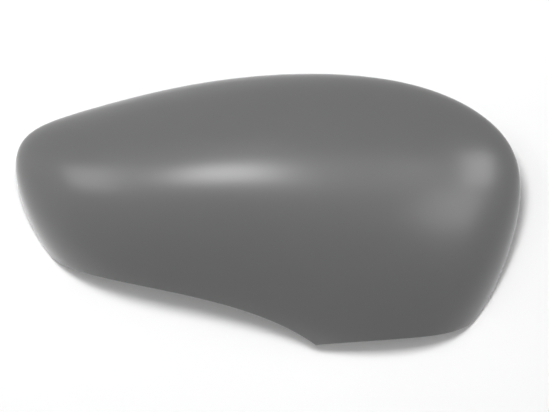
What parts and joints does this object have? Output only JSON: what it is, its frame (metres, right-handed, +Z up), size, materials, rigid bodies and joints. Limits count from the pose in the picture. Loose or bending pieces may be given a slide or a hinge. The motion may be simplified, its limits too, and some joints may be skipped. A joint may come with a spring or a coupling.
{
  "type": "wing mirror cover",
  "caption": "Thin moulded outer cover of a car's wing mirror, with a bulging smooth outside, a trimmed lower edge and snap hooks inside.",
  "frame": {"origin": "centre of the bounding box in plan, on the plane of the rim on which the cover rests", "axes": "+X along the cover towards its round outer end, +Y towards its upper edge, +Z up from the rim to the crown"},
  "size_m": [0.225, 0.121, 0.0503],
  "materials": {
    "primer": "satin grey primer on moulded ABS, unpainted"
  },
  "bodies": {
    "root": {"mirror_cover": "primer"}
  },
  "joints": []
}
